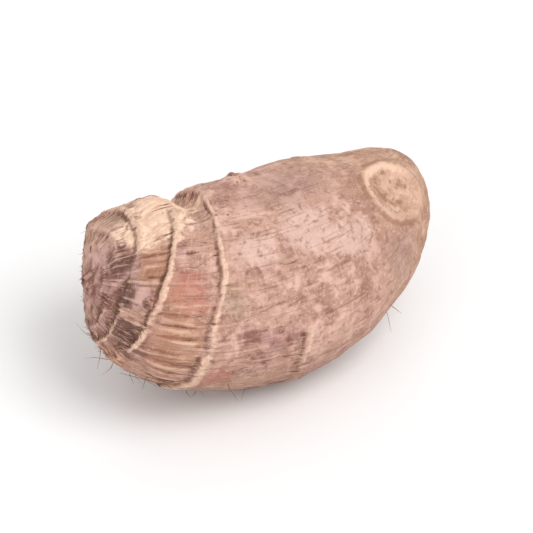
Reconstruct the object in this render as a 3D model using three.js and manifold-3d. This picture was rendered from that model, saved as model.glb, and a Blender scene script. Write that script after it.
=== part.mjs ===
// A taro cormel (an eddoe): one solid, ringed, egg-shaped tuber, a little bent, lying on its belly.
// The apex, where the leaves grew, points to -X. The base, where it broke from its parent, is at +X.
// The surface is a sphere's grid of rows and columns, moved onto the tuber by one formula of two angles:
//   polar  from the apex pole (0) to the base pole (180 degrees)
//   turn   round the spine: 0 is +Y, 90 is up, 180 is -Y, 270 is down
import * as THREE from "three";
import { mergeVertices } from "three/addons/utils/BufferGeometryUtils.js";
import Module from "manifold-3d";

const { sin, cos, exp, sqrt, abs, pow, min, max, PI } = Math;
const radians = THREE.MathUtils.degToRad;

// The whole form, in millimetres
const LENGTH = 86; // straight from apex pole to base pole
const WIDTH = 49; // across the middle, seen from above
const THICKNESS_SHARE = 0.95; // thickness over width
const APEX_BLUNTNESS = 3.2; // 2 is an ellipse, more is blunter
const BASE_BLUNTNESS = 2;
const TAPER = 0.11; // the base end is thinner, the apex end thicker, by this share
const SIDE_BEND = 11.5; // how far both poles stand to +Y of the middle
const END_LIFT = 8; // how far both poles stand above the middle
const APEX_LIFT = 1; // and the apex above that, with the base as far below it
const SOLE_DEPTH = 0.9; // how much of the belly the flat resting spot takes off

// Slow waves of the skin, so that the tuber isn't a turned shape. Each has a height in millimetres,
// a count round the tuber, a count along it and a start
const LUMPS = [
  { size: 0.8, round: 2, along: 3, start: 0.7 },
  { size: 0.45, round: 1, along: 7, start: -0.5 },
];

// Leaf scars: rings whose distance from the apex grows by a constant factor
const RING_COUNT = 8;
const FIRST_RING = radians(9);
const RING_GROWTH = 1.45;
const FULL_RING = radians(30); // rings closer to the apex than this are smaller
const RING_HEIGHT = 0.95; // of a fresh ring's step. Older rings, nearer the base, are worn lower
const RING_UNEVENNESS = 0.25; // by how much of itself that height goes up and down round the ring
const RING_FOOT = radians(1.5); // the short side of the step, towards the apex
const RING_SLOPE = radians(5); // the long side, towards the base

// How a ring strays from its plane
const RING_WAVES = [
  { size: radians(1.2), round: 1, along: 4, start: 0 },
  { size: radians(0.8), round: 2, along: -5, start: 0 },
  { size: radians(0.4), round: 5, along: 9, start: 0 },
];

// Round "polar", the rings slant: they lie furthest from the apex at "turn", and nearest to it opposite
const RING_SLANT = { size: radians(15), polar: radians(42), reach: radians(18), turn: radians(55) };

// One bud sits above each leaf scar, each a golden angle round from the last
const GOLDEN_ANGLE = radians(137.5);
const BUD_START = radians(317);
const FIRST_BUD_RING = 3;
const LAST_BUD_RING = 6;
const BUD_ABOVE_RING = radians(3.5);
const BUD_RADIUS = 3.1;
const BUD_HEIGHT = 1.3;

// The upper back near the apex: a swollen shoulder, then the stump of a leaf base, then a deep groove
const SHOULDER = { polar: radians(25), turn: radians(19), radius: 11, height: 3.4 };
const STUMP = { polar: radians(36.8), turn: radians(56), reach: 3.4, spread: radians(32), height: 1.4 };
const GROOVE = { polar: radians(48.3), turn: radians(55), reach: 6.6, spread: radians(36), height: -4.5 };

// The apex: a shallow dish with the resting bud in it. The base: the round scar of the break
const DISH = { radius: 5.6, depth: 1.3 };
const APEX_BUD = { radius: 2.9, height: 1.8 };
const SCAR = { polar: radians(132.5), turn: radians(127), radius: 8.2, rim: 0.6, rimWidth: 1.4, depth: 0.9 };

// The grid: rows close up at each ring, and columns are even
const COLUMNS = 64;
const WIDEST_ROW_GAP = radians(3.6);
const APEX_ROWS = [1.6, 3.2, 5.2].map(radians);
const BASE_ROWS = [2.6, 5.2].map(radians);

const hump = (x, width) => exp(-((x / width) ** 2));
const nearestTurn = (angle) => Math.atan2(sin(angle), cos(angle));

function sumOfWaves(waves, polar, turn) {
  return waves.reduce((sum, w) => sum + w.size * sin(w.round * turn + w.along * polar + w.start), 0);
}

// The spine's place, direction and girth at t, from -1 at the apex to 1 at the base.
function spine(t) {
  const bluntness = t < 0 ? APEX_BLUNTNESS : BASE_BLUNTNESS;
  return {
    place: new THREE.Vector3((t * LENGTH) / 2, SIDE_BEND * t * t, END_LIFT * t * t - APEX_LIFT * t),
    ahead: new THREE.Vector3(LENGTH / 2, 2 * SIDE_BEND * t, 2 * END_LIFT * t - APEX_LIFT).normalize(),
    girth: (WIDTH / 2) * sqrt(max(0, 1 - pow(abs(t), bluntness))) * (1 - TAPER * t),
  };
}

// A point of the smooth tuber, before its rings and buds.
function body(polar, turn) {
  const { place, ahead, girth } = spine(-cos(polar));
  const side = new THREE.Vector3(-ahead.y, ahead.x, 0).normalize();
  const up = ahead.clone().cross(side);
  return place
    .addScaledVector(side, girth * cos(turn))
    .addScaledVector(up, girth * sin(turn) * THICKNESS_SHARE);
}

// The way out of the smooth tuber at a point. The poles look along the spine.
function outward(polar, turn) {
  if (polar === 0) return spine(-1).ahead.negate();
  if (polar === PI) return spine(1).ahead;
  const step = radians(0.5);
  const along = body(polar + step, turn).sub(body(max(polar - step, step), turn));
  const around = body(polar, turn + step).sub(body(polar, turn - step));
  return around.cross(along).normalize();
}

// Where a ring's plain polar angle really lies at a turn. The straying fades out at both poles.
function stray(polar, turn) {
  const { size, polar: middle, reach, turn: furthest } = RING_SLANT;
  const slant = size * hump(polar - middle, reach) * cos(turn - furthest);
  return polar + sin(polar) * (sumOfWaves(RING_WAVES, polar, turn) + slant);
}

const rings = Array.from({ length: RING_COUNT }, (_, i) => FIRST_RING * pow(RING_GROWTH, i));
const ringSize = (ring) => min(1, ring / FULL_RING);
const ringWear = (ring) => 1 - ring / PI;

// The steps at the leaf scars: each stretch of skin swells towards the ring at its apex end.
function ringRelief(polar, turn) {
  return rings.reduce((sum, ring, i) => {
    const size = ringSize(ring);
    const past = polar - ring;
    const step = hump(past, past < 0 ? RING_FOOT : RING_SLOPE * size);
    const uneven = 1 - RING_UNEVENNESS + RING_UNEVENNESS * sin(2 * turn + i * GOLDEN_ANGLE);
    return sum + RING_HEIGHT * ringWear(ring) * size * uneven * step;
  }, 0);
}

const budRings = rings.slice(FIRST_BUD_RING, LAST_BUD_RING + 1);
const buds = budRings.map((ring, i) => {
  const turn = BUD_START + (FIRST_BUD_RING + i) * GOLDEN_ANGLE;
  return body(stray(ring - BUD_ABOVE_RING, turn), turn);
});

// The buds in the axils of the leaf scars.
function budRelief(point) {
  return buds.reduce((sum, bud) => sum + BUD_HEIGHT * hump(point.distanceTo(bud), BUD_RADIUS), 0);
}

// A ridge or groove that runs part of the way round: "reach" is along the tuber, "spread" round it.
function bandRelief(band, polar, turn) {
  const past = ((polar - band.polar) * LENGTH) / 2;
  return band.height * hump(past, band.reach) * hump(nearestTurn(turn - band.turn), band.spread);
}

const apexPole = body(0, 0);
const shoulderMiddle = body(SHOULDER.polar, SHOULDER.turn);
const scarMiddle = body(SCAR.polar, SCAR.turn);

// The dish and bud at the apex, and the shoulder beside it.
function apexRelief(point) {
  const fromPole = point.distanceTo(apexPole);
  const bud = APEX_BUD.height * hump(fromPole, APEX_BUD.radius);
  const dish = DISH.depth * hump(fromPole, DISH.radius);
  return bud - dish + SHOULDER.height * hump(point.distanceTo(shoulderMiddle), SHOULDER.radius);
}

// The round scar at the base: a raised rim round a shallow hollow.
function scarRelief(point) {
  const inside = SCAR.radius - point.distanceTo(scarMiddle);
  const hollow = SCAR.depth * THREE.MathUtils.smoothstep(inside, 0, SCAR.radius * 0.7);
  return SCAR.rim * hump(inside, SCAR.rimWidth) - hollow;
}

// A point of the finished skin. The slow waves fade out at both poles.
function skin(polar, turn) {
  const strayed = stray(polar, turn);
  const point = body(strayed, turn);
  const relief =
    ringRelief(polar, turn) +
    bandRelief(STUMP, polar, turn) +
    bandRelief(GROOVE, polar, turn) +
    budRelief(point) +
    apexRelief(point) +
    scarRelief(point) +
    sin(polar) * sumOfWaves(LUMPS, strayed, turn);
  return point.addScaledVector(outward(strayed, turn), relief);
}

// The rows' polar angles: both poles, two or three rows at each ring, and more in the wide gaps.
function rowAngles() {
  const atRings = rings.flatMap((ring) => {
    const foot = RING_FOOT * ringSize(ring);
    return ring < FULL_RING ? [ring, ring + foot] : [ring - foot, ring, ring + foot];
  });
  const atBase = BASE_ROWS.map((angle) => PI - angle);
  const marks = [...APEX_ROWS, ...atRings, ...atBase, PI].sort((a, b) => a - b);
  const rows = [0];
  for (const mark of marks) {
    const from = rows[rows.length - 1];
    const steps = max(1, Math.round((mark - from) / WIDEST_ROW_GAP));
    for (let k = 1; k <= steps; k++) rows.push(from + ((mark - from) * k) / steps);
  }
  return rows;
}

// The sphere's grid moved onto the skin, with its vertices merged so that it is closed.
function corm() {
  const rows = rowAngles();
  const lastRow = rows.length - 1;
  const grid = new THREE.SphereGeometry(1, COLUMNS, lastRow);
  const { position, uv } = grid.attributes;
  for (let i = 0; i < position.count; i++) {
    const row = Math.round((1 - uv.getY(i)) * lastRow);
    const atPole = row === 0 || row === lastRow;
    const turn = atPole ? 0 : -2 * PI * (uv.getX(i) % 1);
    const { x, y, z } = skin(rows[row], turn);
    position.setXYZ(i, x, y, z);
  }
  grid.deleteAttribute("normal");
  grid.deleteAttribute("uv");
  return mergeVertices(grid, 1e-3);
}

const wasm = await Module();
wasm.setup();

function solidFrom(geometry) {
  const shape = new wasm.Mesh({
    numProp: 3,
    vertProperties: geometry.attributes.position.array,
    triVerts: new Uint32Array(geometry.index.array),
  });
  return new wasm.Manifold(shape);
}

function geometryFrom(solid) {
  const { vertProperties, triVerts } = solid.getMesh();
  const made = new THREE.BufferGeometry();
  made.setAttribute("position", new THREE.BufferAttribute(vertProperties, 3));
  made.setIndex(new THREE.BufferAttribute(triVerts, 1));
  return made;
}

// Takes the lowest slice off the belly, so that the tuber has a flat spot to rest on.
function withSole(geometry) {
  geometry.computeBoundingBox();
  const floor = geometry.boundingBox.min.z + SOLE_DEPTH;
  const slab = new THREE.BoxGeometry(2 * LENGTH, 2 * LENGTH, LENGTH);
  slab.deleteAttribute("normal");
  slab.deleteAttribute("uv");
  slab.translate(0, 0, floor - LENGTH / 2);
  return geometryFrom(solidFrom(geometry).subtract(solidFrom(mergeVertices(slab))));
}

// The origin is under the middle of the tuber's box, on the surface that it rests on.
function centredOnFloor(geometry) {
  geometry.computeBoundingBox();
  const { min: low, max: high } = geometry.boundingBox;
  return geometry.translate(-(low.x + high.x) / 2, -(low.y + high.y) / 2, -low.z);
}

const skinMaterial = new THREE.MeshStandardMaterial({ color: 0xb08a7a, roughness: 0.85, metalness: 0 });

const tuber = new THREE.Mesh(centredOnFloor(withSole(corm())), skinMaterial);
tuber.name = "taro_corm";

const taro = new THREE.Group();
taro.add(tuber);

export default taro;
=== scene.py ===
# %% [markdown]
# Dressing a taro cormel
#
# A taro cormel (an eddoe) is a swollen underground stem, about as long as a finger. It grew as one
# piece, so the frame holds one solid: bent, ringed by leaf scars, dished at its apex, and scarred where
# it broke from its parent. Flat faces can't show skin, though. This script lays a finer surface over
# the same form, wrinkles and tears it, colours it, and then adds what stands out of it: the fibres of
# old leaf bases, root hairs and the papery scales of its buds.

import random
from math import cos, log, pi, radians, sin, tau

import bmesh
import bpy
import numpy as np
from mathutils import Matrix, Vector, noise
from mathutils.bvhtree import BVHTree


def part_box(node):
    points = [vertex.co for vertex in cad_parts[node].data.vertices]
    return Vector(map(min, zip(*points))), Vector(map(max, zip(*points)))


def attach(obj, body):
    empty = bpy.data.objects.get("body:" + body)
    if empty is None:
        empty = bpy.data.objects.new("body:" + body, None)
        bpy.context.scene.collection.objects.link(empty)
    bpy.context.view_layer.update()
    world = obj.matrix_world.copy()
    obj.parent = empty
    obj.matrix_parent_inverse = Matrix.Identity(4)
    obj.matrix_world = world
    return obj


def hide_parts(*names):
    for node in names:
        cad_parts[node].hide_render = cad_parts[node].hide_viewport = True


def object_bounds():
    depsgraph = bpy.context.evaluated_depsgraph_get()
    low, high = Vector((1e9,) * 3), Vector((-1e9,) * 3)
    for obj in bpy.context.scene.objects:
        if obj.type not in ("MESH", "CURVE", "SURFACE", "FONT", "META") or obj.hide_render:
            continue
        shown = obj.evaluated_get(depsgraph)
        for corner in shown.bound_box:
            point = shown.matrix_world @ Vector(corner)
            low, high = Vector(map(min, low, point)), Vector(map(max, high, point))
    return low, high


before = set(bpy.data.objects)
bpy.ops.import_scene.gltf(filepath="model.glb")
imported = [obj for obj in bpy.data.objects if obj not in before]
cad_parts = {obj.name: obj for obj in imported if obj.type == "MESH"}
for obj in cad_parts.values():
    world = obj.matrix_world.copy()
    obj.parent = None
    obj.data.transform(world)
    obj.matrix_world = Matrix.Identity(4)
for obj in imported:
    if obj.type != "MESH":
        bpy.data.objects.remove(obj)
frame_low, frame_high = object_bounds()
MM = 0.001  # metres in a millimetre
print("the frame is", [round(side / MM, 1) for side in frame_high - frame_low], "mm")

# %% [markdown]
# Three helpers
#
# Colours are easiest to pick as the sRGB hex codes of a paint program, but Blender's sockets take linear
# light, so one function converts them. Node trees could be drawn by hand in the Shader Editor. In a
# script, one function that adds a node, sets it and links it keeps each step to a line or two, and
# another starts each material with an empty tree.


# %% Turn a hex colour to linear light
def linear(hex_colour):
    """The linear red, green, blue and alpha of an sRGB colour such as "#b99383"."""
    channels = [int(hex_colour[i : i + 2], 16) / 255 for i in (1, 3, 5)]
    return [c / 12.92 if c <= 0.04045 else ((c + 0.055) / 1.055) ** 2.4 for c in channels] + [1]


# %% Add a node
def add(tree, kind, inputs=(), out=0, **settings):
    """Adds a node and returns an output, if it has any. An input takes a value, or an output to link."""
    node = tree.nodes.new(kind)
    for name, value in settings.items():
        setattr(node, name, value)
    for socket, value in dict(inputs).items():
        if isinstance(value, bpy.types.NodeSocket):
            tree.links.new(value, node.inputs[socket])
        else:
            node.inputs[socket].default_value = value
    return node.outputs[out] if node.outputs else None


# %% Start a material
def new_finish(name):
    """A material and its node tree, which is empty."""
    material = bpy.data.materials.new(name)
    material.use_nodes = True
    material.node_tree.nodes.clear()
    return material, material.node_tree


# %% [markdown]
# The form of the tuber
#
# The solid was made by a formula of two angles. "Polar" goes from the apex pole (0) to the base pole
# (180 degrees), and "turn" goes round: 0 is +Y, 90 is up. A fine skin could be sculpted over the solid or
# shrink-wrapped onto it, but its flat faces would show through. Working the same formula again, with the
# same values, gives the true smooth form underneath them.

# %% The whole form, in millimetres
LENGTH = 86  # straight from apex pole to base pole
WIDTH = 49  # across the middle, seen from above
THICKNESS_SHARE = 0.95  # thickness over width
APEX_BLUNTNESS = 3.2  # 2 is an ellipse, more is blunter
BASE_BLUNTNESS = 2
TAPER = 0.11  # the base end is thinner, the apex end thicker, by this share
SIDE_BEND = 11.5  # how far both poles stand to +Y of the middle
END_LIFT = 8  # how far both poles stand above the middle
APEX_LIFT = 1  # and the apex above that, with the base as far below it

# %% Its rings, buds and scars
LUMPS = [  # slow waves: height, count round the tuber, count along it, start
    (0.8, 2, 3, 0.7),
    (0.45, 1, 7, -0.5),
]
RING_COUNT = 8
FIRST_RING = radians(9)
RING_GROWTH = 1.45  # each ring is this much further from the apex than the last
FULL_RING = radians(30)
RING_HEIGHT = 0.95  # of a fresh ring's step. Older rings, nearer the base, are worn lower
RING_UNEVENNESS = 0.25
RING_FOOT = radians(1.5)
RING_SLOPE = radians(5)
RING_WAVES = [  # how a ring strays from its plane, given as the lumps are
    (radians(1.2), 1, 4, 0),
    (radians(0.8), 2, -5, 0),
    (radians(0.4), 5, 9, 0),
]
RING_SLANT = dict(size=radians(15), polar=radians(42), reach=radians(18), turn=radians(55))
GOLDEN_ANGLE = radians(137.5)
BUD_START = radians(317)
FIRST_BUD_RING, LAST_BUD_RING = 3, 6
BUD_ABOVE_RING = radians(3.5)
BUD_RADIUS = 3.1
BUD_HEIGHT = 1.3
SHOULDER = dict(polar=radians(25), turn=radians(19), radius=11, height=3.4)
STUMP = dict(polar=radians(36.8), turn=radians(56), reach=3.4, spread=radians(32), height=1.4)
GROOVE = dict(polar=radians(48.3), turn=radians(55), reach=6.6, spread=radians(36), height=-4.5)
DISH = dict(radius=5.6, depth=1.3)
APEX_BUD = dict(radius=2.9, height=1.8)
SCAR = dict(polar=radians(132.5), turn=radians(127), radius=8.2, rim=0.6, rim_width=1.4, depth=0.9)
SCAR_SLOPE = 0.7  # the share of its radius over which the scar goes down to its floor

rings = FIRST_RING * RING_GROWTH ** np.arange(RING_COUNT)
print("rings at", np.round(np.degrees(rings), 1), "degrees from the apex")


# %% Shapes of swellings and edges
def hump(x, width):
    """A bell: 1 at zero, about a third at one width away."""
    return np.exp(-((x / width) ** 2))


def smoothstep(x, low, high):
    """0 below the low edge, 1 above the high one, and smooth between them."""
    share = np.clip((x - low) / (high - low), 0, 1)
    return share * share * (3 - 2 * share)


def unit(vectors):
    return vectors / np.linalg.norm(vectors, axis=-1, keepdims=True)


def sum_of_waves(waves, polar, turn):
    return sum(size * np.sin(count * turn + along * polar + start) for size, count, along, start in waves)


# %% The smooth tuber, before its rings and buds
def spine(t):
    """The spine's place, direction and girth at t, from -1 at the apex to 1 at the base."""
    bluntness = np.where(t < 0, APEX_BLUNTNESS, BASE_BLUNTNESS)
    place = np.stack([t * LENGTH / 2, SIDE_BEND * t * t, END_LIFT * t * t - APEX_LIFT * t], -1)
    ahead = [np.full_like(t, LENGTH / 2), 2 * SIDE_BEND * t, 2 * END_LIFT * t - APEX_LIFT]
    girth = WIDTH / 2 * np.sqrt(np.maximum(0, 1 - np.abs(t) ** bluntness)) * (1 - TAPER * t)
    return place, unit(np.stack(ahead, -1)), girth[..., None]


def body(polar, turn):
    """A point of the smooth tuber."""
    polar, turn = np.asarray(polar, float), np.asarray(turn, float)
    place, ahead, girth = spine(-np.cos(polar))
    side = unit(np.stack([-ahead[..., 1], ahead[..., 0], 0 * ahead[..., 0]], -1))
    up = np.cross(ahead, side) * THICKNESS_SHARE
    return place + girth * (side * np.cos(turn)[..., None] + up * np.sin(turn)[..., None])


def outward(polar, turn):
    """The way out of the smooth tuber. At a pole it's taken just beside it."""
    step = radians(0.5)
    polar = np.clip(polar, step, pi - step)
    along = body(polar + step, turn) - body(polar - step, turn)
    around = body(polar, turn + step) - body(polar, turn - step)
    return unit(np.cross(around, along))


# %% What the solid has on it
def distance(points, spot):
    return np.linalg.norm(points - spot, axis=-1)


def nearest_turn(angle):
    return np.arctan2(np.sin(angle), np.cos(angle))


def ring_relief(polar, turn):
    """The steps at the leaf scars: each stretch of skin swells towards the ring at its apex end."""
    height = 0
    for i, ring in enumerate(rings):
        size = min(1, ring / FULL_RING)
        past = polar - ring
        step = np.where(past < 0, hump(past, RING_FOOT), hump(past, RING_SLOPE * size))
        uneven = 1 - RING_UNEVENNESS + RING_UNEVENNESS * np.sin(2 * turn + i * GOLDEN_ANGLE)
        height = height + RING_HEIGHT * (1 - ring / pi) * size * uneven * step
    return height


def band_relief(band, polar, turn):
    past = (polar - band["polar"]) * LENGTH / 2
    aside = nearest_turn(turn - band["turn"])
    return band["height"] * hump(past, band["reach"]) * hump(aside, band["spread"])


def spot(feature):
    return body(feature["polar"], feature["turn"])


def stray(polar, turn):
    """Where a ring's plain polar angle really lies at a turn."""
    slant = RING_SLANT["size"] * hump(polar - RING_SLANT["polar"], RING_SLANT["reach"])
    waves = sum_of_waves(RING_WAVES, polar, turn)
    return polar + np.sin(polar) * (waves + slant * np.cos(turn - RING_SLANT["turn"]))


buds = [
    (ring - BUD_ABOVE_RING, BUD_START + i * GOLDEN_ANGLE)
    for i, ring in enumerate(rings)
    if FIRST_BUD_RING <= i <= LAST_BUD_RING
]


def plain_relief(polar, turn, strayed, points):
    """The height of the solid's own surface over the smooth tuber."""
    from_pole = distance(points, body(0, 0))
    from_scar = SCAR["radius"] - distance(points, spot(SCAR))
    height = ring_relief(polar, turn) + band_relief(STUMP, polar, turn) + band_relief(GROOVE, polar, turn)
    for bud_polar, bud_turn in buds:
        bud = body(stray(bud_polar, bud_turn), bud_turn)
        height += BUD_HEIGHT * hump(distance(points, bud), BUD_RADIUS)
    height += APEX_BUD["height"] * hump(from_pole, APEX_BUD["radius"])
    height -= DISH["depth"] * hump(from_pole, DISH["radius"])
    height += SHOULDER["height"] * hump(distance(points, spot(SHOULDER)), SHOULDER["radius"])
    height += SCAR["rim"] * hump(from_scar, SCAR["rim_width"])
    height -= SCAR["depth"] * smoothstep(from_scar, 0, SCAR["radius"] * SCAR_SLOPE)
    return height + np.sin(polar) * sum_of_waves(LUMPS, strayed, turn)


# %% [markdown]
# A sphere to move onto the form
#
# The skin is one closed surface, so it starts from Blender's UV sphere, whose rows and columns already
# run round and along the tuber. Each vertex's two angles are read from its place on the sphere. About
# half a millimetre between vertices is fine enough for wrinkles and torn edges to be real geometry.

# %% Make the sphere and read its angles
COLUMNS, ROWS = 320, 300
skin_mesh = bmesh.new()
bmesh.ops.create_uvsphere(skin_mesh, u_segments=COLUMNS, v_segments=ROWS, radius=1)
on_sphere = np.array([vertex.co for vertex in skin_mesh.verts])
polar = np.arctan2(np.hypot(on_sphere[:, 0], on_sphere[:, 1]), on_sphere[:, 2])
turn = np.arctan2(-on_sphere[:, 1], on_sphere[:, 0])
strayed = stray(polar, turn)
smooth = body(strayed, turn)
way_out = outward(strayed, turn)
height = plain_relief(polar, turn, strayed, smooth)
print(len(polar), "vertices, moved by", round(height.min(), 2), "to", round(height.max(), 2), "mm")

# %% Find where the form stands in the frame
plain = smooth + way_out * height[:, None]
box_low, box_high = (np.array(corner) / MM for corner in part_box("taro_corm"))
shift = (box_low + box_high - plain.min(0) - plain.max(0)) / 2
shift[2] = box_high[2] - plain[:, 2].max()
print("the form is shifted by", np.round(shift, 2), "mm")

# %% Measure along the tuber
MERIDIAN_POINTS = 721  # a quarter of a degree apart
meridian_angles = np.linspace(0, pi, MERIDIAN_POINTS)
steps_along = np.linalg.norm(np.diff(body(meridian_angles, 0 * meridian_angles + pi / 2), axis=0), axis=1)
travelled = np.append(0, np.cumsum(steps_along))
along = np.interp(polar, meridian_angles, travelled)
pace = np.interp(polar, meridian_angles[1:], steps_along / np.diff(meridian_angles))
print("from pole to pole over the skin:", round(travelled[-1]), "mm")

# %% [markdown]
# Relief finer than the solid's
#
# Taro skin dries on the tuber, so it puckers lengthwise, most of all near the apex, and it tears: the
# brown fibrous outer layer comes off in patches, and each leaf scar keeps a ragged lip. These could be a
# displacement texture, but vertices moved by the same noise everywhere give a mesh that is right in
# itself, and the colours can then follow the very same edges. Blender's noise module gives that noise.


# %% Noise at every vertex
SEED_STEP = (17.3, 31.1, 7.7)  # how far apart two seeds' noises lie
FADE, FINER = 1, 2  # each octave is twice as fine as the last, and half as strong


def field(points, size, octaves, seed):
    """Noise from about -1 to 1 at each point. The size of its blotches is one number, or one per axis."""
    offset = Vector([seed * step for step in SEED_STEP])
    scaled = points / np.array(size)
    return np.array([noise.fractal(Vector(point) + offset, FADE, FINER, octaves) for point in scaled])


girth = WIDTH / 2
grain = np.stack([girth * np.cos(turn), girth * np.sin(turn), along], 1)  # follows the fibres
from_base_scar = distance(smooth, spot(SCAR)) / SCAR["radius"]
off_scar = smoothstep(from_base_scar, 0.7, 1.1)
CALM, LIVELY = 2, 9  # millimetres from a pole: wrinkles start at the first, and are full at the second
calm_poles = smoothstep(along, CALM, LIVELY) * smoothstep(travelled[-1] - along, CALM, LIVELY)
print(int(np.sum(from_base_scar < 1)), "vertices lie in the base scar")

# %% Wrinkles, dents and knobs, in millimetres
WRINKLE_SIZE, CREASE_SIZE = (1.9, 1.9, 15), (1.1, 1.1, 6)  # twice across the fibres, then along them
DENT_SIZE, KNOB_SIZE = 9, 2.6
DENT_DEPTH, KNOB_HEIGHT = 0.34, 0.14
WRINKLE_DEPTH, CREASE_DEPTH = 0.14, 0.1  # on the smooth middle
APEX_WRINKLES, APEX_CREASES = 0.5, 0.22  # and so much more at the apex
NOISE_MEAN = 0.25  # is taken off, so that the skin moves in about as much as out
near_apex = hump(polar, radians(70))
wrinkles = np.abs(field(grain, WRINKLE_SIZE, 2, seed=1)) - NOISE_MEAN
creases = np.abs(field(grain, CREASE_SIZE, 2, seed=2)) - NOISE_MEAN
dents = field(smooth, DENT_SIZE, 2, seed=3)
knobs = field(smooth, KNOB_SIZE, 3, seed=4)
wrinkled = (WRINKLE_DEPTH + APEX_WRINKLES * near_apex) * wrinkles
creased = (CREASE_DEPTH + APEX_CREASES * near_apex) * creases
fine = calm_poles * off_scar * (wrinkled + creased)
fine += DENT_DEPTH * dents + KNOB_HEIGHT * knobs
print("wrinkles, dents and knobs: from", round(fine.min(), 2), "to", round(fine.max(), 2), "mm")

# %% Count the rings along the skin. Each strays a little more than the solid's, so that none is perfect
RING_STRAY, STRAY_LENGTH = 0.8, 9  # millimetres: how far a ring strays, and over how long a stretch
LEAST_GAP = 1  # millimetres, so that nothing is divided by zero at the apex
ring_gap = np.maximum(pace * polar * log(RING_GROWTH), LEAST_GAP)
straying = RING_STRAY * field(smooth, STRAY_LENGTH, 2, seed=10)
ring_number = np.log(np.maximum(polar, FIRST_RING / 3) / FIRST_RING) / log(RING_GROWTH) + straying / ring_gap
closest = np.clip(np.round(ring_number), 0, RING_COUNT - 1).astype(int)
past_ring = (ring_number - closest) * ring_gap
print("rings stray by up to", round(np.abs(straying).max(), 1), "mm")


# %% [markdown]
# Patches
#
# A real tuber isn't the same all over. This one has a dark fibrous cap, a pale rubbed block where a leaf
# came off, red and grey stains, and a tan base end. Each patch is an ellipse lying on the skin, given by
# its angles and its size. Painting them by hand in Texture Paint would make an image. An attribute on
# the mesh does the same and stays a formula: it's 1 in a patch's middle, 0 at its edge, less outside.


# %% A patch on the skin
def patch(polar_degrees, turn_degrees, long, wide):
    """1 at the middle of an ellipse on the skin, 0 at its edge. Its sizes are in mm, along and round."""
    polar_at, turn_at, step = radians(polar_degrees), radians(turn_degrees), 0.01
    middle = body(polar_at, turn_at)
    ahead = unit(body(polar_at + step, turn_at) - middle)
    aside = unit(body(polar_at, turn_at + step) - middle)
    offset = smooth - middle
    deep = offset @ np.cross(ahead, aside) / (long + wide)
    return 1 - 2 * np.sqrt((offset @ ahead / long) ** 2 + (offset @ aside / wide) ** 2 + deep**2)


def patches(*ellipses):
    return np.max([patch(*ellipse) for ellipse in ellipses], axis=0)


# %% Where each colour lies
marks = {
    "dark": patches((31, 180, 9, 12), (22, 107, 8, 9), (26, 150, 5, 12), (24, 262, 10, 16), (34, 300, 8, 9)),
    "blush": patches((15, 65, 15, 15), (27, 128, 8, 9), (33, 146, 6, 9), (12, 280, 10, 12), (30, 20, 10, 9)),
    "rubbed": patches(
        (38, 86, 17, 15), (46, 60, 15, 20), (71, 262, 12, 9), (40, 330, 8, 12), (62, 20, 9, 8)
    ),
    "red": patches((49, 139, 9, 11), (61, 200, 9, 9), (72, 300, 9, 13), (40, 250, 7, 9), (86, 20, 8, 11)),
    "grey": patches((62, 145, 6, 9), (28, 52, 8, 9), (33, 125, 7, 8), (92, 250, 7, 9), (66, 340, 6, 8)),
    # greyish darker patches: painted shade
    "dusk_shade": patches((96, 88, 22, 11), (118, 165, 14, 14), (112, 250, 18, 16), (100, 10, 14, 16)),
    "ladder": patches((46, 176, 13, 28), (37, 118, 9, 12), (47, 285, 12, 26), (31, 214, 6, 10)),
    "bloom": patches((92, 118, 18, 13), (72, 120, 11, 9), (104, 132, 13, 11), (92, 330, 20, 14)),
    "seam": patches((73.5, 100, 18, 2.2), (60, 320, 14, 2), (84, 230, 16, 2)),
}
TAN_START, TAN_FADE = 0.68, 20  # the share of the way to the base pole, and millimetres
marks["tan"] = (along - travelled[-1] * TAN_START) / TAN_FADE
marks["off_poles"] = calm_poles
# how far the skin faces down: the belly is darker there, as painted shade and as soil
marks["under"] = -way_out[:, 2]
print("patches:", ", ".join(marks))

# %% Brown fibrous cover that is left on the skin: what holds it on, less what wears it off, is above zero
COVER_THICKNESS = 0.16
cap = patches((20, 150, 34, 40), (30, 182, 12, 18), (24, 290, 26, 34), (22, 235, 22, 24))
strokes = patches((72, 172, 16, 20), (47, 182, 9, 20), (55, 275, 18, 30), (75, 350, 16, 20))
cover_noise = field(grain, (5.5, 5.5, 9), 4, seed=5)
cover = 0.95 * np.maximum(cap, 0.6 * strokes) + 0.8 * cover_noise - 0.14
cover -= 1.3 * np.maximum(marks["rubbed"], 0) + 0.5 * smoothstep(polar, radians(55), radians(100))
marks["cover"] = cover * off_scar
fine += COVER_THICKNESS * smoothstep(marks["cover"], -0.08, 0.1)
print("cover on", round(100 * np.mean(marks["cover"] > 0)), "% of the vertices")

# %% Rungs: the strands of old leaf bases, which run between two rings. Each wanders a little
RUNG_GAP, RUNG_STRAY, RUNG_HEIGHT = 3.3, 1.6, 0.16
wandering = girth * turn + RUNG_STRAY * field(grain, (7, 7, 14), 2, seed=14)
rungs = 0.55 * np.sin(tau * wandering / RUNG_GAP) + 1.3 * field(grain, (1.2, 1.2, 30), 3, seed=6)
marks["rungs"] = rungs * smoothstep(marks["ladder"], -0.1, 0.5)
fine += RUNG_HEIGHT * np.clip(marks["rungs"], -1, 1)
print("rungs at", round(100 * np.mean(marks["ladder"] > 0)), "% of the vertices")

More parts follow.
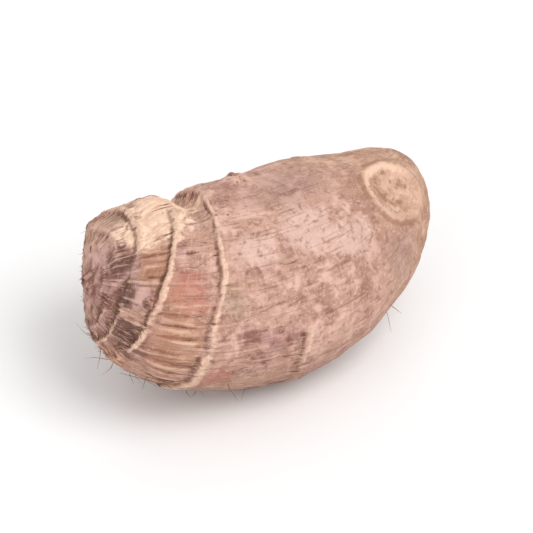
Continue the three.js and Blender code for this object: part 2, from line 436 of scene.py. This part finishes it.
# %% How strong each leaf scar's lip is. Most fade out on the smooth middle of the tuber
LIP_STRENGTHS = np.array([0.25, 0.3, 0.4, 0.85, 1, 0.8, 0.5, 0.35])  # ring by ring, from the apex
RING_SEED = 60.0  # millimetres between two rings in the noise, so that no two are torn alike
round_ring = np.stack([girth * np.cos(turn), girth * np.sin(turn), RING_SEED * closest], 1)
uneven_lip = np.clip(0.6 + 1.2 * field(round_ring, 8, 3, seed=8), 0, 1.2)
clear_lips = patches((42, 145, 20, 62), (57, 140, 14, 64), (30, 84, 14, 22))
clear_strength = np.clip(0.82 + 0.7 * field(round_ring, 3, 2, seed=15), 0.35, 1.15)
uneven_lip = np.maximum(uneven_lip, clear_strength * smoothstep(clear_lips, 0, 0.25))
worn_lips = patches((25, 135, 14, 17))
smooth_middle = patches((92, 122, 44, 42), (118, 140, 34, 40))
lip_strength = LIP_STRENGTHS[closest] * uneven_lip
for worn, share in ((smooth_middle, 0.9), (worn_lips, 0.75)):
    lip_strength *= 1 - share * smoothstep(worn, -0.1, 0.25)
stub = patch(83, 181, 12, 9)  # one short stretch of a worn ring's lip is left
lip_strength = np.maximum(lip_strength, 0.7 * smoothstep(stub, 0, 0.5))
print("lips from", round(lip_strength.min(), 2), "to", round(lip_strength.max(), 2), "strong")

# %% Raise the ragged lips, each with a crevice on its apex side, and mark their colours: a pale lip, and a painted shadow line along the crevice
LIP_HEIGHT = 0.3  # millimetres, and the crevice is as deep
LIP_PLACE, LIP_WIDTH = 0.3, 0.55  # millimetres past the ring, and to either side
CREVICE_PLACE, CREVICE_WIDTH = -0.65, 0.5
PALE_PLACE, PALE_WIDTH = 0.3, 0.85
SHADOW_LINE_PLACE, SHADOW_LINE_WIDTH = -0.7, 0.7
RAGGEDNESS = 0.45
from_lip = past_ring + RAGGEDNESS * field(round_ring, 1.3, 3, seed=7)
raised = LIP_HEIGHT * hump(from_lip - LIP_PLACE, LIP_WIDTH)
sunk = LIP_HEIGHT * hump(from_lip - CREVICE_PLACE, CREVICE_WIDTH)
fine += lip_strength * (raised - sunk)
marks["lip"] = lip_strength - np.abs(past_ring - PALE_PLACE) / PALE_WIDTH
# painted shadow: a dark line along each crevice, on the apex side of the lip
marks["crevice"] = lip_strength - np.abs(past_ring - SHADOW_LINE_PLACE) / SHADOW_LINE_WIDTH
print("lips reach", round((lip_strength * raised).max(), 2), "mm out")

# %% Root scars: small raised rings, most of them on the base side of a leaf scar
ROOT_SCAR_COUNT = 44
ROOT_RIM_HEIGHT, ROOT_PIT_DEPTH = 0.2, 0.16
random.seed(11)
root_scars = [(62, 96, 0.7), (66.5, 97, 0.6), (80, 70, 0.6)]  # three on the upper side, listed
for _ in range(ROOT_SCAR_COUNT):
    ring = random.choice(np.degrees(rings[2:]))
    root_scars.append((ring + random.uniform(2, 14), random.uniform(170, 420), random.uniform(0.3, 0.65)))
from_root_scar = np.full(len(polar), 9.0)  # in radii of the nearest one
for polar_degrees, turn_degrees, radius in root_scars:
    at = body(radians(polar_degrees), radians(turn_degrees))
    from_root_scar = np.minimum(from_root_scar, distance(smooth, at) / radius)
from_root_scar += 0.35 * field(smooth, 0.9, 2, seed=12)
fine += ROOT_RIM_HEIGHT * hump(from_root_scar - 1, 0.45) - ROOT_PIT_DEPTH * hump(from_root_scar, 0.6)
marks["root_scar"] = np.minimum(from_root_scar, 3)
print(len(root_scars), "root scars")

# %% The broken end of the base scar, with the stumps of its strands
STUMP_SIZE, STUMP_HEIGHT, STUMP_FLOOR = 1.5, 0.35, 0.1
SCAR_BEND = 0.07  # how far the scar is from a perfect circle. This and the places are in its own radii
LEDGE_PLACE, LEDGE_WIDTH, LEDGE_HEIGHT = 0.55, 0.12, 0.14
MOAT_PLACE, MOAT_WIDTH, MOAT_DEPTH = 1.08, 0.08, 0.12
stumps = np.abs(field(smooth, STUMP_SIZE, 3, seed=9))
fine += (1 - off_scar) * (STUMP_HEIGHT * stumps - STUMP_FLOOR)
bent_scar = from_base_scar + SCAR_BEND * field(smooth, 5, 3, seed=13)
ledge = LEDGE_HEIGHT * hump(bent_scar - LEDGE_PLACE, LEDGE_WIDTH)
fine += ledge - MOAT_DEPTH * hump(bent_scar - MOAT_PLACE, MOAT_WIDTH)
print("base scar of", 2 * SCAR["radius"], "mm")

# %% The colours of the base scar: a cream painted highlight on the rim where it would catch the light, painted shade along its edge and an inner ring, and dots
marks["base_scar"] = np.minimum(bent_scar, 3)
rim_light = patches((132, 104, 26, 13), (138, 96, 14, 12))
marks["scar_rim"] = hump(bent_scar - 0.85, 0.14) * smoothstep(rim_light, -0.2, 0.4)
rim_shade = patches((121, 122, 14, 22), (124, 146, 14, 16), (140, 90, 10, 10), (130, 139, 4, 4))
marks["scar_edge"] = np.maximum(hump(bent_scar - 1.1, 0.09), 0.8 * hump(bent_scar - 0.45, 0.12))
marks["scar_edge"] *= smoothstep(rim_shade, -0.3, 0.5)
marks["scar_dots"] = 1.6 * field(smooth, 1.2, 2, seed=16) - 0.25 - smoothstep(bent_scar, 0.6, 1)
print("dots on", int(np.sum(marks["scar_dots"] > 0)), "vertices")

# %% [markdown]
# The skin as a mesh
#
# Every vertex goes to its place on the smooth form and then out by its relief. The belly is pressed flat
# at the floor, as the solid's is. The colours also need to know where to paint shade and soil in the
# hollows: that is how far a vertex lies below the average of its neighbours, after a few rounds of
# smoothing.

# %% Move the sphere's vertices
places = smooth + way_out * (height + fine)[:, None] + shift
print("relief finer than the solid's: from", round(fine.min(), 2), "to", round(fine.max(), 2), "mm")
places[:, 2] = np.maximum(places[:, 2], 0)
for vertex, place in zip(skin_mesh.verts, places * MM):
    vertex.co = place
skin_mesh.normal_update()
skin_surface = BVHTree.FromBMesh(skin_mesh)
print("volume", round(skin_mesh.calc_volume(signed=True) / MM**3 / 1000, 1), "cubic centimetres")

# %% Find the hollows
edges = np.array([[vertex.index for vertex in edge.verts] for edge in skin_mesh.edges])
ends = np.concatenate([edges[:, 0], edges[:, 1]])
others = np.concatenate([edges[:, 1], edges[:, 0]])
neighbour_count = np.bincount(ends)[:, None]
averaged = places
SMOOTHING_ROUNDS = 10
for _ in range(SMOOTHING_ROUNDS):
    totals = np.stack([np.bincount(ends, weights=averaged[others, axis]) for axis in range(3)], 1)
    averaged = (averaged + totals / neighbour_count) / 2
# how deep each vertex lies in a hollow, where painted shade and soil go
marks["hollow"] = np.einsum("ij,ij->i", averaged - places, way_out)
RUBBED_LESS_SHADE_AND_SOIL = 0.09  # millimetres of hollow in which rubbed skin gets no painted shade and no soil
marks["hollow"] -= RUBBED_LESS_SHADE_AND_SOIL * smoothstep(marks["rubbed"], -0.1, 0.3)
print("hollows down to", round(marks["hollow"].max(), 2), "mm")


# %% Turn a bmesh into a piece
def piece_from(shape, name, material):
    """Makes an object that rides on the tuber. What would go below the ground is laid on it."""
    for vertex in shape.verts:
        vertex.co.z = max(vertex.co.z, 0)
    mesh = bpy.data.meshes.new(name)
    shape.to_mesh(mesh)
    shape.free()
    mesh.shade_smooth()
    mesh.materials.append(material)
    piece = bpy.data.objects.new(name, mesh)
    bpy.context.scene.collection.objects.link(piece)
    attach(piece, "root")
    print(name, "has", sum(len(polygon.vertices) - 2 for polygon in mesh.polygons), "triangles")
    return piece


# %% The skin piece and the attributes that its finish reads
skin_material, tree = new_finish("dry_corky_taro_skin")
skin = piece_from(skin_mesh, "tuber_skin", skin_material)
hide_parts("taro_corm")
for name, values in marks.items():
    skin.data.attributes.new(name, "FLOAT", "POINT").data.foreach_set("value", values.astype("f"))
grain_attribute = skin.data.attributes.new("grain", "FLOAT_VECTOR", "POINT")
grain_attribute.data.foreach_set("vector", grain.astype("f").ravel())

# %% [markdown]
# The finish of the skin
#
# Taro skin is cork, the same stuff as potato skin: dry, matt and a little dusty, pinkish beige where it
# has been rubbed and purple-brown where its fibres are left. It's built as a painter would: a mottled
# ground first, then the stains and some greyish painted shade, the brown cover, the pale lips over painted
# shadow lines, the scars with a painted highlight and painted shade, and the dirt with painted shade in
# the hollows and on the belly, each laid over the last. A pattern's scale is one over its real size, so
# 1000 / 4 gives blotches of about 4 mm, because Object coordinates are in metres.

# %% Patterns
place = add(tree, "ShaderNodeTexCoord", out=3)
fibre = add(tree, "ShaderNodeAttribute", out=1, attribute_name="grain")
mark = {name: add(tree, "ShaderNodeAttribute", out=2, attribute_name=name) for name in marks}
PATTERN_SIZES = {"cloud": 13, "shade": 6.5, "blotch": 4.1, "mottle": 1.7, "grit": 0.9, "speck": 0.45}
pattern = {}
for name, size in PATTERN_SIZES.items():
    inputs = {"Vector": place, "Scale": 1000 / size, "Detail": 4, "Roughness": 0.55, "Distortion": 0.4}
    pattern[name] = add(tree, "ShaderNodeTexNoise", inputs)
FIBRE_SIZES = {"strand": (0.6, 0.6, 10), "thread": (0.3, 0.3, 4), "hoop": (8, 8, 0.5)}
for name, size in FIBRE_SIZES.items():
    stretched = add(tree, "ShaderNodeVectorMath", {0: fibre, 1: [1 / s for s in size]}, operation="MULTIPLY")
    streaks = add(tree, "ShaderNodeTexNoise", {"Vector": stretched, "Scale": 1, "Detail": 2})
    uneven = add(tree, "ShaderNodeMath", {0: streaks, 1: 0.5}, operation="SUBTRACT")
    inputs = {0: uneven, 1: mark["off_poles"], 2: 0.5}  # calm at the poles, where streaks would form a star
    pattern[name] = add(tree, "ShaderNodeMath", inputs, operation="MULTIPLY_ADD")
print(len(pattern), "patterns:", ", ".join(pattern))


# %% Lay one finish over another
def lay(below, finish, where, low, high, strength=1, edge=(), raggedness=1):
    """Lays a finish, from nothing where a value is low to its full strength where it's high.

    The patterns named in edge, which are each about 0.5, fray its limits.
    """
    for name in edge:
        inputs = {0: pattern[name], 1: raggedness, 2: where}
        where = add(tree, "ShaderNodeMath", inputs, operation="MULTIPLY_ADD")
    moved = raggedness * len(edge) / 2
    limits = {"Value": where, "From Min": low + moved, "From Max": high + moved, "To Max": strength}
    share = add(tree, "ShaderNodeMapRange", limits, interpolation_type="SMOOTHSTEP")
    finish = linear(finish) if isinstance(finish, str) else finish
    return add(tree, "ShaderNodeMix", {0: share, 6: below, 7: finish}, out=2, data_type="RGBA")


# %% The ground: pinkish beige, mottled at four scales, and tan at the base end
colour = lay(linear("#af8474"), "#bd9482", pattern["cloud"], 0.36, 0.6)
colour = lay(colour, "#93685d", pattern["shade"], 0.5, 0.3, 0.75)
colour = lay(colour, "#dab0a1", pattern["blotch"], 0.44, 0.7)
tan = lay(linear("#ab826a"), "#d0a98f", pattern["blotch"], 0.32, 0.68)
colour = lay(colour, tan, mark["tan"], -0.4, 0.7, 0.85, ("shade",), 1.2)
colour = lay(colour, "#dab8ac", mark["bloom"], -0.3, 0.6, 0.65, ("mottle", "blotch"), 1.8)
colour = lay(colour, "#855a4c", pattern["mottle"], 0.5, 0.3, 0.6)
colour = lay(colour, "#dfbdab", pattern["grit"], 0.5, 0.7, 0.5)
print("ground laid")

# %% Stains, and greyish painted shade
colour = lay(colour, "#b0665a", mark["red"], -0.4, 0.6, 0.58, ("mottle", "shade"), 1.8)
colour = lay(colour, "#96826a", mark["grey"], -0.4, 0.6, 0.45, ("mottle", "blotch"), 1.6)
# painted shade: greyish darker patches
colour = lay(colour, "#9a7b72", mark["dusk_shade"], -0.4, 0.6, 0.42, ("mottle", "blotch"), 1.8)
print("stains laid")

# %% The brown fibrous cover: mauve and brown blotches, darkest on the cap
mauve = lay(linear("#7d4d46"), "#bc9089", pattern["blotch"], 0.4, 0.6)
mauve = lay(mauve, "#704339", pattern["thread"], 0.52, 0.36, 0.45)
mauve = lay(mauve, "#d3aaa2", mark["blush"], -0.2, 0.6, 0.85, ("mottle", "blotch"), 1.5)
umber = lay(linear("#391c1b"), "#653c37", pattern["mottle"], 0.35, 0.65)
cover_colour = lay(mauve, umber, mark["dark"], -0.4, 0.4, 0.95, ("mottle", "shade"), 1.6)
colour = lay(colour, cover_colour, mark["cover"], -0.12, 0.28, 0.85, ("strand", "mottle"))
print("cover laid")

# %% Ladders of rungs between the rings, pale seams, streaks along the tuber and faint hoops round it
colour = lay(colour, "#ba8667", mark["ladder"], -0.2, 0.5, 0.55, ("mottle", "shade"), 1.2)
colour = lay(colour, "#d9b095", mark["rungs"], 0.1, 0.9, 0.75, ("mottle",), 0.7)
colour = lay(colour, "#94624b", mark["rungs"], -0.1, -0.8, 0.75, ("mottle",), 0.7)
colour = lay(colour, "#e3bfac", mark["seam"], 0, 0.6, 0.6, ("mottle",), 0.9)
colour = lay(colour, "#774e40", pattern["strand"], 0.44, 0.28, 0.45)
colour = lay(colour, "#dbb7a3", pattern["hoop"], 0.55, 0.8, 0.35)
print("rungs, seams, streaks and hoops laid")

# %% Rubbed skin, down to the cream layer
rubbed = lay(linear("#e4bb9f"), "#fad8bd", pattern["mottle"], 0.35, 0.58)
colour = lay(colour, rubbed, mark["rubbed"], -0.1, 0.3, 0.94, ("mottle", "blotch"), 1.3)
print("rubbed skin laid")

# %% Lips at the leaf scars, pale and frayed along the fibres, over a dark painted shadow line along the crevice
# painted shadow along each crevice
colour = lay(colour, "#6d4436", mark["crevice"], 0, 0.8, 0.6, ("mottle", "strand"), 0.9)
pale = lay(linear("#cda189"), "#efcdb5", pattern["grit"], 0.38, 0.6)
colour = lay(colour, pale, mark["lip"], 0, 0.7, 0.95, ("mottle", "strand"), 0.9)
print("lips laid")

# %% Root scars, and the base scar: peach, with painted shade at its edge and a cream painted highlight on its rim on one side
colour = lay(colour, "#d3ab94", mark["root_scar"], 1.7, 0.9, 0.7, ("speck",), 0.5)
colour = lay(colour, "#68432f", mark["root_scar"], 0.75, 0.3, 0.8, ("speck",), 0.5)
peach = lay(linear("#bd917b"), "#dbb29a", pattern["blotch"], 0.38, 0.62)
peach = lay(peach, "#ecc7ae", pattern["mottle"], 0.5, 0.68, 0.6)
colour = lay(colour, peach, mark["base_scar"], 1.25, 0.7, 0.75, ("mottle", "blotch"), 0.6)
# painted shade along the scar's edge
colour = lay(colour, "#916650", mark["scar_edge"], 0.1, 0.8, 0.6, ("mottle",), 0.5)
colour = lay(colour, "#8c624d", mark["scar_dots"], 0, 0.5, 0.55, ("speck",), 0.6)
# painted highlight on the rim's lit side
colour = lay(colour, "#efcbb1", mark["scar_rim"], 0.15, 0.9, 0.75, ("mottle", "blotch"), 0.8)
print("scars laid")

# %% Painted shade and soil in the hollows and on the belly, dust on the rest
# painted shade and soil: darker where the skin faces down
colour = lay(colour, "#765140", mark["under"], 0.1, 1, 0.5, ("mottle", "blotch"), 0.9)
# painted shade, with soil: darker the deeper a hollow is
colour = lay(colour, "#5d3f32", mark["hollow"], 0.03, 0.22, 0.7, ("mottle",), 0.16)
colour = lay(colour, "#dcb8a2", mark["hollow"], -0.04, -0.16, 0.5, ("grit",), 0.1)
colour = lay(colour, "#dfc0ad", pattern["speck"], 0.56, 0.72, 0.3)
print("soil and dust laid")

# %% Bump finer than the mesh, in millimetres, and the surface itself
BUMPS = {"strand": 0.2, "thread": 0.12, "mottle": 0.14, "grit": 0.12, "speck": 0.08, "hoop": 0.05}
relief = 0
for name, millimetres in BUMPS.items():
    inputs = {0: pattern[name], 1: millimetres, 2: relief}
    relief = add(tree, "ShaderNodeMath", inputs, operation="MULTIPLY_ADD")
normal = add(tree, "ShaderNodeBump", {"Height": relief, "Distance": MM, "Strength": 0.9})
roughness = add(tree, "ShaderNodeMapRange", {"Value": pattern["mottle"], "To Min": 0.7, "To Max": 0.9})
cork = {"Base Color": colour, "Roughness": roughness, "Normal": normal, "Specular IOR Level": 0.25}
shaded = add(tree, "ShaderNodeBsdfPrincipled", cork)
add(tree, "ShaderNodeOutputMaterial", {"Surface": shaded})
print("the skin's finish has", len(tree.nodes), "nodes")

# %% [markdown]
# Fibres of the old leaf bases
#
# Each leaf scar keeps a fringe: the strands that ran up into the leaf, dried and broken off, lying over
# the skin towards the apex. A hair system would draw them fast, but hair isn't a mesh and is lost when
# the model is exported. So one thin four-sided cone, cut across into short steps, is copied for every
# strand and bent along its own route over the skin.


# %% One strand to copy: thick at its root, at z = 0, and thin at z = 1
def strand_template(steps):
    shape = bmesh.new()
    bmesh.ops.create_cone(shape, segments=4, radius1=1, radius2=0.2, depth=1, cap_ends=True)
    bmesh.ops.translate(shape, verts=shape.verts, vec=(0, 0, 0.5))
    lengthwise = [edge for edge in shape.edges if abs(edge.verts[0].co.z - edge.verts[1].co.z) > 0.5]
    bmesh.ops.subdivide_edges(shape, edges=lengthwise, cuts=steps - 1)
    template = bpy.data.meshes.new("strand_template")
    shape.to_mesh(template)
    shape.free()
    return template


# %% Places on the finished skin
LOOK_FROM = 8  # millimetres outside the skin, which clears all of its relief


def below(place, out):
    """The place on the skin under one that is near it, looking back along the way out. It's in metres."""
    return skin_surface.ray_cast(place + out * LOOK_FROM * MM, -out)[0]


def on_skin(polar, turn, lift=0):
    """A place on or over the skin, in metres, and the way out of it. The lift is in millimetres."""
    at = stray(polar, turn)
    out = Vector(outward(at, turn))
    return below(Vector((body(at, turn) + shift) * MM), out) + out * lift * MM, out


# %% Add one strand to a shape
def add_strand(shape, template, steps, route, outs, radius):
    """Bends a copy of the template along a route. Its radius is in metres."""
    first_new = len(shape.verts)
    shape.from_mesh(template)
    shape.verts.ensure_lookup_table()
    for vertex in shape.verts[first_new:]:
        step = round(vertex.co.z * steps)
        ahead = (route[min(step + 1, steps)] - route[max(step - 1, 0)]).normalized()
        side = ahead.cross(outs[step]).normalized()
        vertex.co = route[step] + radius * (side * vertex.co.x + side.cross(ahead) * vertex.co.y)


# %% Lay the fringes, ring by ring
FRINGE_STEPS = 8
FRINGE_COUNTS = {1: 20, 2: 60, 3: 190, 4: 240, 5: 110, 6: 40}  # by ring, before any are rubbed off
RUBBED_OFF = (radians(30), radians(150))  # the turns between which few strands are left
RUBBED_OFF_SHARE = 0.85
FRINGE_REACH = (0.2, 0.8)  # how long a strand is, as a share of the way to the next ring
FRINGE_LIFT, ROOT_DEPTH = 0.13, 0.25  # millimetres: over the skin, and how much lower the root is
TIP_LIFTS = (0.05, 0.1, 0.15, 0.3, 1.2)  # most lie close, and one in five stands off
FRINGE_RADII = (0.07, 0.16)
random.seed(23)
fringe_template = strand_template(FRINGE_STEPS)
fringe_shape = bmesh.new()
for ring, count in FRINGE_COUNTS.items():
    gap = rings[ring] - rings[ring - 1]
    for _ in range(count):
        root_polar = rings[ring] + radians(random.uniform(-0.6, 0.9))
        root_turn = random.uniform(0, tau)
        worn = ring > 1 and RUBBED_OFF[0] < root_turn < RUBBED_OFF[1]
        if worn and random.random() < RUBBED_OFF_SHARE:
            continue
        reach = gap * random.uniform(*FRINGE_REACH)
        drift, curl = random.gauss(0, 0.05), random.gauss(0, 0.012)
        tip_lift = random.choice(TIP_LIFTS)
        route, outs = [], []
        for step in range(FRINGE_STEPS + 1):
            share = step / FRINGE_STEPS
            root_depth = ROOT_DEPTH if step == 0 else 0
            lift = FRINGE_LIFT + tip_lift * share**2 - root_depth
            polar_here = root_polar - reach * share
            turn_here = root_turn + drift * share + curl * sin(share * 5)
            place, out = on_skin(polar_here, turn_here, lift)
            route.append(place)
            outs.append(out)
        radius = random.uniform(*FRINGE_RADII) * MM
        add_strand(fringe_shape, fringe_template, FRINGE_STEPS, route, outs, radius)
print(len(fringe_shape.verts) // len(fringe_template.vertices), "strands are left")

# %% Two finishes for strands, both matt: dry leaf fibre, straw to brown, and the darker skin of a dry root
STRAND_TONES = {"dry_leaf_fibre": ("#75503f", "#caa18b"), "dry_root_skin": ("#5b3c2f", "#a1775c")}
STRAND_PATCH = 2.5  # millimetres from a light stretch to the next, about
strand_materials = {}
for name, (dark_tone, light_tone) in STRAND_TONES.items():
    strand_materials[name], tree = new_finish(name)
    place = add(tree, "ShaderNodeTexCoord", out=3)
    tone = add(tree, "ShaderNodeTexNoise", {"Vector": place, "Scale": 1000 / STRAND_PATCH, "Detail": 2})
    strand_colour = lay(linear(dark_tone), light_tone, tone, 0.36, 0.62)
    dry = {"Base Color": strand_colour, "Roughness": 0.75, "Specular IOR Level": 0.3}
    shaded = add(tree, "ShaderNodeBsdfPrincipled", dry)
    add(tree, "ShaderNodeOutputMaterial", {"Surface": shaded})
piece_from(fringe_shape, "leaf_base_fibres", strand_materials["dry_leaf_fibre"])

# %% [markdown]
# Root hairs
#
# A few of the thin roots stay on a dug tuber, most of them low on its sides and on its belly. They leave
# the skin straight, then curl and sink under their own small weight, and lie on the ground where they
# reach it. A curve with a round bevel would do for so few, but the strand above is at hand, so it is used
# again with more steps, and each hair's route is walked step by step.


# %% A random push in any direction
def random_vector(spread):
    return Vector([random.gauss(0, spread) for _ in range(3)])


# %% Grow the root hairs
HAIR_STEPS = 12
HAIR_COUNT = 60
HAIR_LENGTHS, HAIR_RADII = (2, 8), (0.06, 0.11)  # millimetres
HAIR_LIFT = -0.3  # millimetres, so each hair starts inside the skin
HAIR_CLEARANCE = 0.12 * MM
LOWEST_HAIR = 0.3 * MM
SAG = Vector((0, 0, -0.06))  # how much further down a hair turns at each step
random.seed(5)
hair_template = strand_template(HAIR_STEPS)
hair_shape = bmesh.new()
for _ in range(HAIR_COUNT):
    root_polar = radians(random.choice((random.uniform(26, 58), random.uniform(58, 135))))
    root_turn = radians(random.choice((random.gauss(260, 36), random.uniform(185, 390))))
    root, out = on_skin(root_polar, root_turn, HAIR_LIFT)
    ahead = (out + random_vector(0.5)).normalized()
    stride = random.uniform(*HAIR_LENGTHS) * MM / HAIR_STEPS
    bend = random_vector(0.2) + SAG
    route, outs = [root], [ahead.orthogonal()]
    for step in range(HAIR_STEPS):
        ahead = (ahead + bend + random_vector(0.12)).normalized()
        place = route[-1] + ahead * stride
        nearest, nearest_out, *_ = skin_surface.find_nearest(place)
        clear = (place - nearest).dot(nearest_out)
        if step and clear < HAIR_CLEARANCE:
            place += nearest_out * (HAIR_CLEARANCE - clear)
        place.z = max(place.z, LOWEST_HAIR)
        route.append(place)
        outs.append(ahead.orthogonal())
    radius = random.uniform(*HAIR_RADII) * MM
    add_strand(hair_shape, hair_template, HAIR_STEPS, route, outs, radius)
piece_from(hair_shape, "root_hairs", strand_materials["dry_root_skin"])

# %% [markdown]
# Papery scales of the buds
#
# The resting bud at the apex, and the small ones above the leaf scars, are wrapped in thin brown scales.
# A cone with grooves would pass for a bud from afar, but scales that overlap catch the light one by one.
# Each starts as a small flat grid. Its columns are drawn in towards its tip, it's bent round a dome and
# given a little thickness, and each next one sits further in and taller, a golden angle round, as leaves
# grow.

# %% One bud of scales
SCALE_THICKNESS = 0.14  # millimetres
SCALE_CUTS = 8  # faces along and across a scale
SCALE_SPREAD = 1.15  # radians, from a scale's middle to its side at its base
SCALE_BEND = 1.4  # radians, how far a scale goes up and over the dome
TIP_NARROWING = 1.8  # more keeps a scale wide for longer


def add_bud(shape, polar, turn, radius, tall, count, lean):
    """Wraps scales over a swelling of the skin. Their radius and how tall they stand are in millimetres."""
    middle, out = on_skin(polar, turn)
    towards_apex = on_skin(max(polar - 0.1, 0), turn)[0] - middle
    axis = (out + lean * towards_apex.normalized()).normalized()
    first = axis.orthogonal().normalized()
    second = axis.cross(first)
    for i in range(count):
        further_in = i / count
        base = radius * (1 - 0.55 * further_in)
        top = tall * (0.6 + 0.4 * further_in) * random.uniform(0.85, 1.1)
        sideways = i * GOLDEN_ANGLE + random.uniform(-0.15, 0.15)
        grid = bmesh.ops.create_grid(shape, x_segments=SCALE_CUTS, y_segments=SCALE_CUTS, size=1)
        for vertex in grid["verts"]:
            x, y = vertex.co.x, (vertex.co.y + 1) / 2
            angle = sideways + x * SCALE_SPREAD * (1.06 - y**TIP_NARROWING)
            crumple = 0.1 * noise.noise(Vector((x * 1.5, y * 3, i * 5.1))) + 0.06 * y**3
            away = base * (cos(y * SCALE_BEND) + crumple)
            rise = top * (sin(y * SCALE_BEND) - 0.15 + crumple)
            across = first * cos(angle) + second * sin(angle)
            vertex.co = below(middle + across * away * MM, axis) + axis * rise * MM
        scale_faces = list({face for vertex in grid["verts"] for face in vertex.link_faces})
        bmesh.ops.recalc_face_normals(shape, faces=scale_faces)
        bmesh.ops.solidify(shape, geom=scale_faces, thickness=SCALE_THICKNESS * MM)


# %% Wrap the apex bud, which is wide and low, and the side buds, which lean to the apex
APEX_SCALES = dict(radius=3.8, tall=0.8, count=13, lean=0)
SIDE_SCALES = dict(radius=1.5, tall=0.7, count=6, lean=0.3)
random.seed(7)
scale_shape = bmesh.new()
add_bud(scale_shape, 0, 0, **APEX_SCALES)
for bud_polar, bud_turn in buds:
    add_bud(scale_shape, bud_polar, bud_turn, **SIDE_SCALES)
bmesh.ops.recalc_face_normals(scale_shape, faces=scale_shape.faces)
print(APEX_SCALES["count"] + len(buds) * SIDE_SCALES["count"], "scales")

# %% Their finish: dry papery scale, crinkled and matt, mauve-brown with paler patches
SCALE_PATCH, SCALE_CRINKLE = 1.2, 0.2  # millimetres across, and deep
scale_material, tree = new_finish("dry_papery_scale")
place = add(tree, "ShaderNodeTexCoord", out=3)
tone = add(tree, "ShaderNodeTexNoise", {"Vector": place, "Scale": 1000 / SCALE_PATCH, "Detail": 3})
scale_colour = lay(linear("#765047"), "#b98f80", tone, 0.35, 0.65)
normal = add(tree, "ShaderNodeBump", {"Height": tone, "Distance": SCALE_CRINKLE * MM})
papery = {"Base Color": scale_colour, "Roughness": 0.7, "Specular IOR Level": 0.3, "Normal": normal}
shaded = add(tree, "ShaderNodeBsdfPrincipled", papery)
add(tree, "ShaderNodeOutputMaterial", {"Surface": shaded})
piece_from(scale_shape, "bud_scales", scale_material)

# %% [markdown]
# The studio
#
# The tuber lies on plain white paper under a big soft light, and is looked down on from the front left.
# A long lens keeps the near end from looking bigger than the far one.

# %% Camera
CAMERA_AZIMUTH, CAMERA_ELEVATION = radians(-33), radians(42)
CAMERA_DISTANCE = 0.83
LENS = 240  # millimetres, on a sensor 36 mm wide
middle = (frame_low + frame_high) / 2
back = Vector((
    sin(CAMERA_AZIMUTH) * cos(CAMERA_ELEVATION),
    -cos(CAMERA_AZIMUTH) * cos(CAMERA_ELEVATION),
    sin(CAMERA_ELEVATION),
))
camera = bpy.data.objects.new("camera", bpy.data.cameras.new("camera"))
camera.data.lens = LENS
camera.location = middle + back * CAMERA_DISTANCE
camera.rotation_euler = back.to_track_quat("Z", "Y").to_euler()
bpy.context.scene.collection.objects.link(camera)
bpy.context.scene.camera = camera
bpy.context.scene.view_settings.view_transform = "Standard"
print("the camera is", CAMERA_DISTANCE, "m away")

# %% Lights: name, watts, size in metres, place in metres
LIGHTS = [
    ("key", 5.7, 0.6, (0.2, -0.5, 0.85)),
    ("fill", 2.3, 0.8, (-0.9, -0.3, 0.5)),
    ("rim", 1.5, 0.6, (0.4, 0.9, 0.5)),
]
for name, watts, size, place_at in LIGHTS:
    lamp = bpy.data.lights.new(name, "AREA")
    lamp.energy = watts
    lamp.size = size
    light = bpy.data.objects.new(name, lamp)
    light.location = place_at
    light.rotation_euler = (Vector(place_at) - middle).to_track_quat("Z", "Y").to_euler()
    bpy.context.scene.collection.objects.link(light)
print(len(LIGHTS), "lights")

# %% The pale walls of the studio, as an even glow from all round
WALL_GLOW = 0.67
world = bpy.data.worlds.new("pale_studio")
world.use_nodes = True
world.node_tree.nodes["Background"].inputs["Color"].default_value = linear("#ffffff")
world.node_tree.nodes["Background"].inputs["Strength"].default_value = WALL_GLOW
bpy.context.scene.world = world
print("the walls glow at", WALL_GLOW)

# %% Floor
FLOOR_SIZE = 6
floor_shape = bmesh.new()
bmesh.ops.create_grid(floor_shape, x_segments=1, y_segments=1, size=FLOOR_SIZE / 2)
floor_mesh = bpy.data.meshes.new("floor")
floor_shape.to_mesh(floor_mesh)
floor_shape.free()
paper = bpy.data.materials.new("white_paper")
paper.use_nodes = True
paper.node_tree.nodes["Principled BSDF"].inputs["Base Color"].default_value = linear("#f2f2f2")
paper.node_tree.nodes["Principled BSDF"].inputs["Roughness"].default_value = 0.9
floor_mesh.materials.append(paper)
floor = bpy.data.objects.new("floor", floor_mesh)
bpy.context.scene.collection.objects.link(floor)
print("floor of", FLOOR_SIZE, "m")
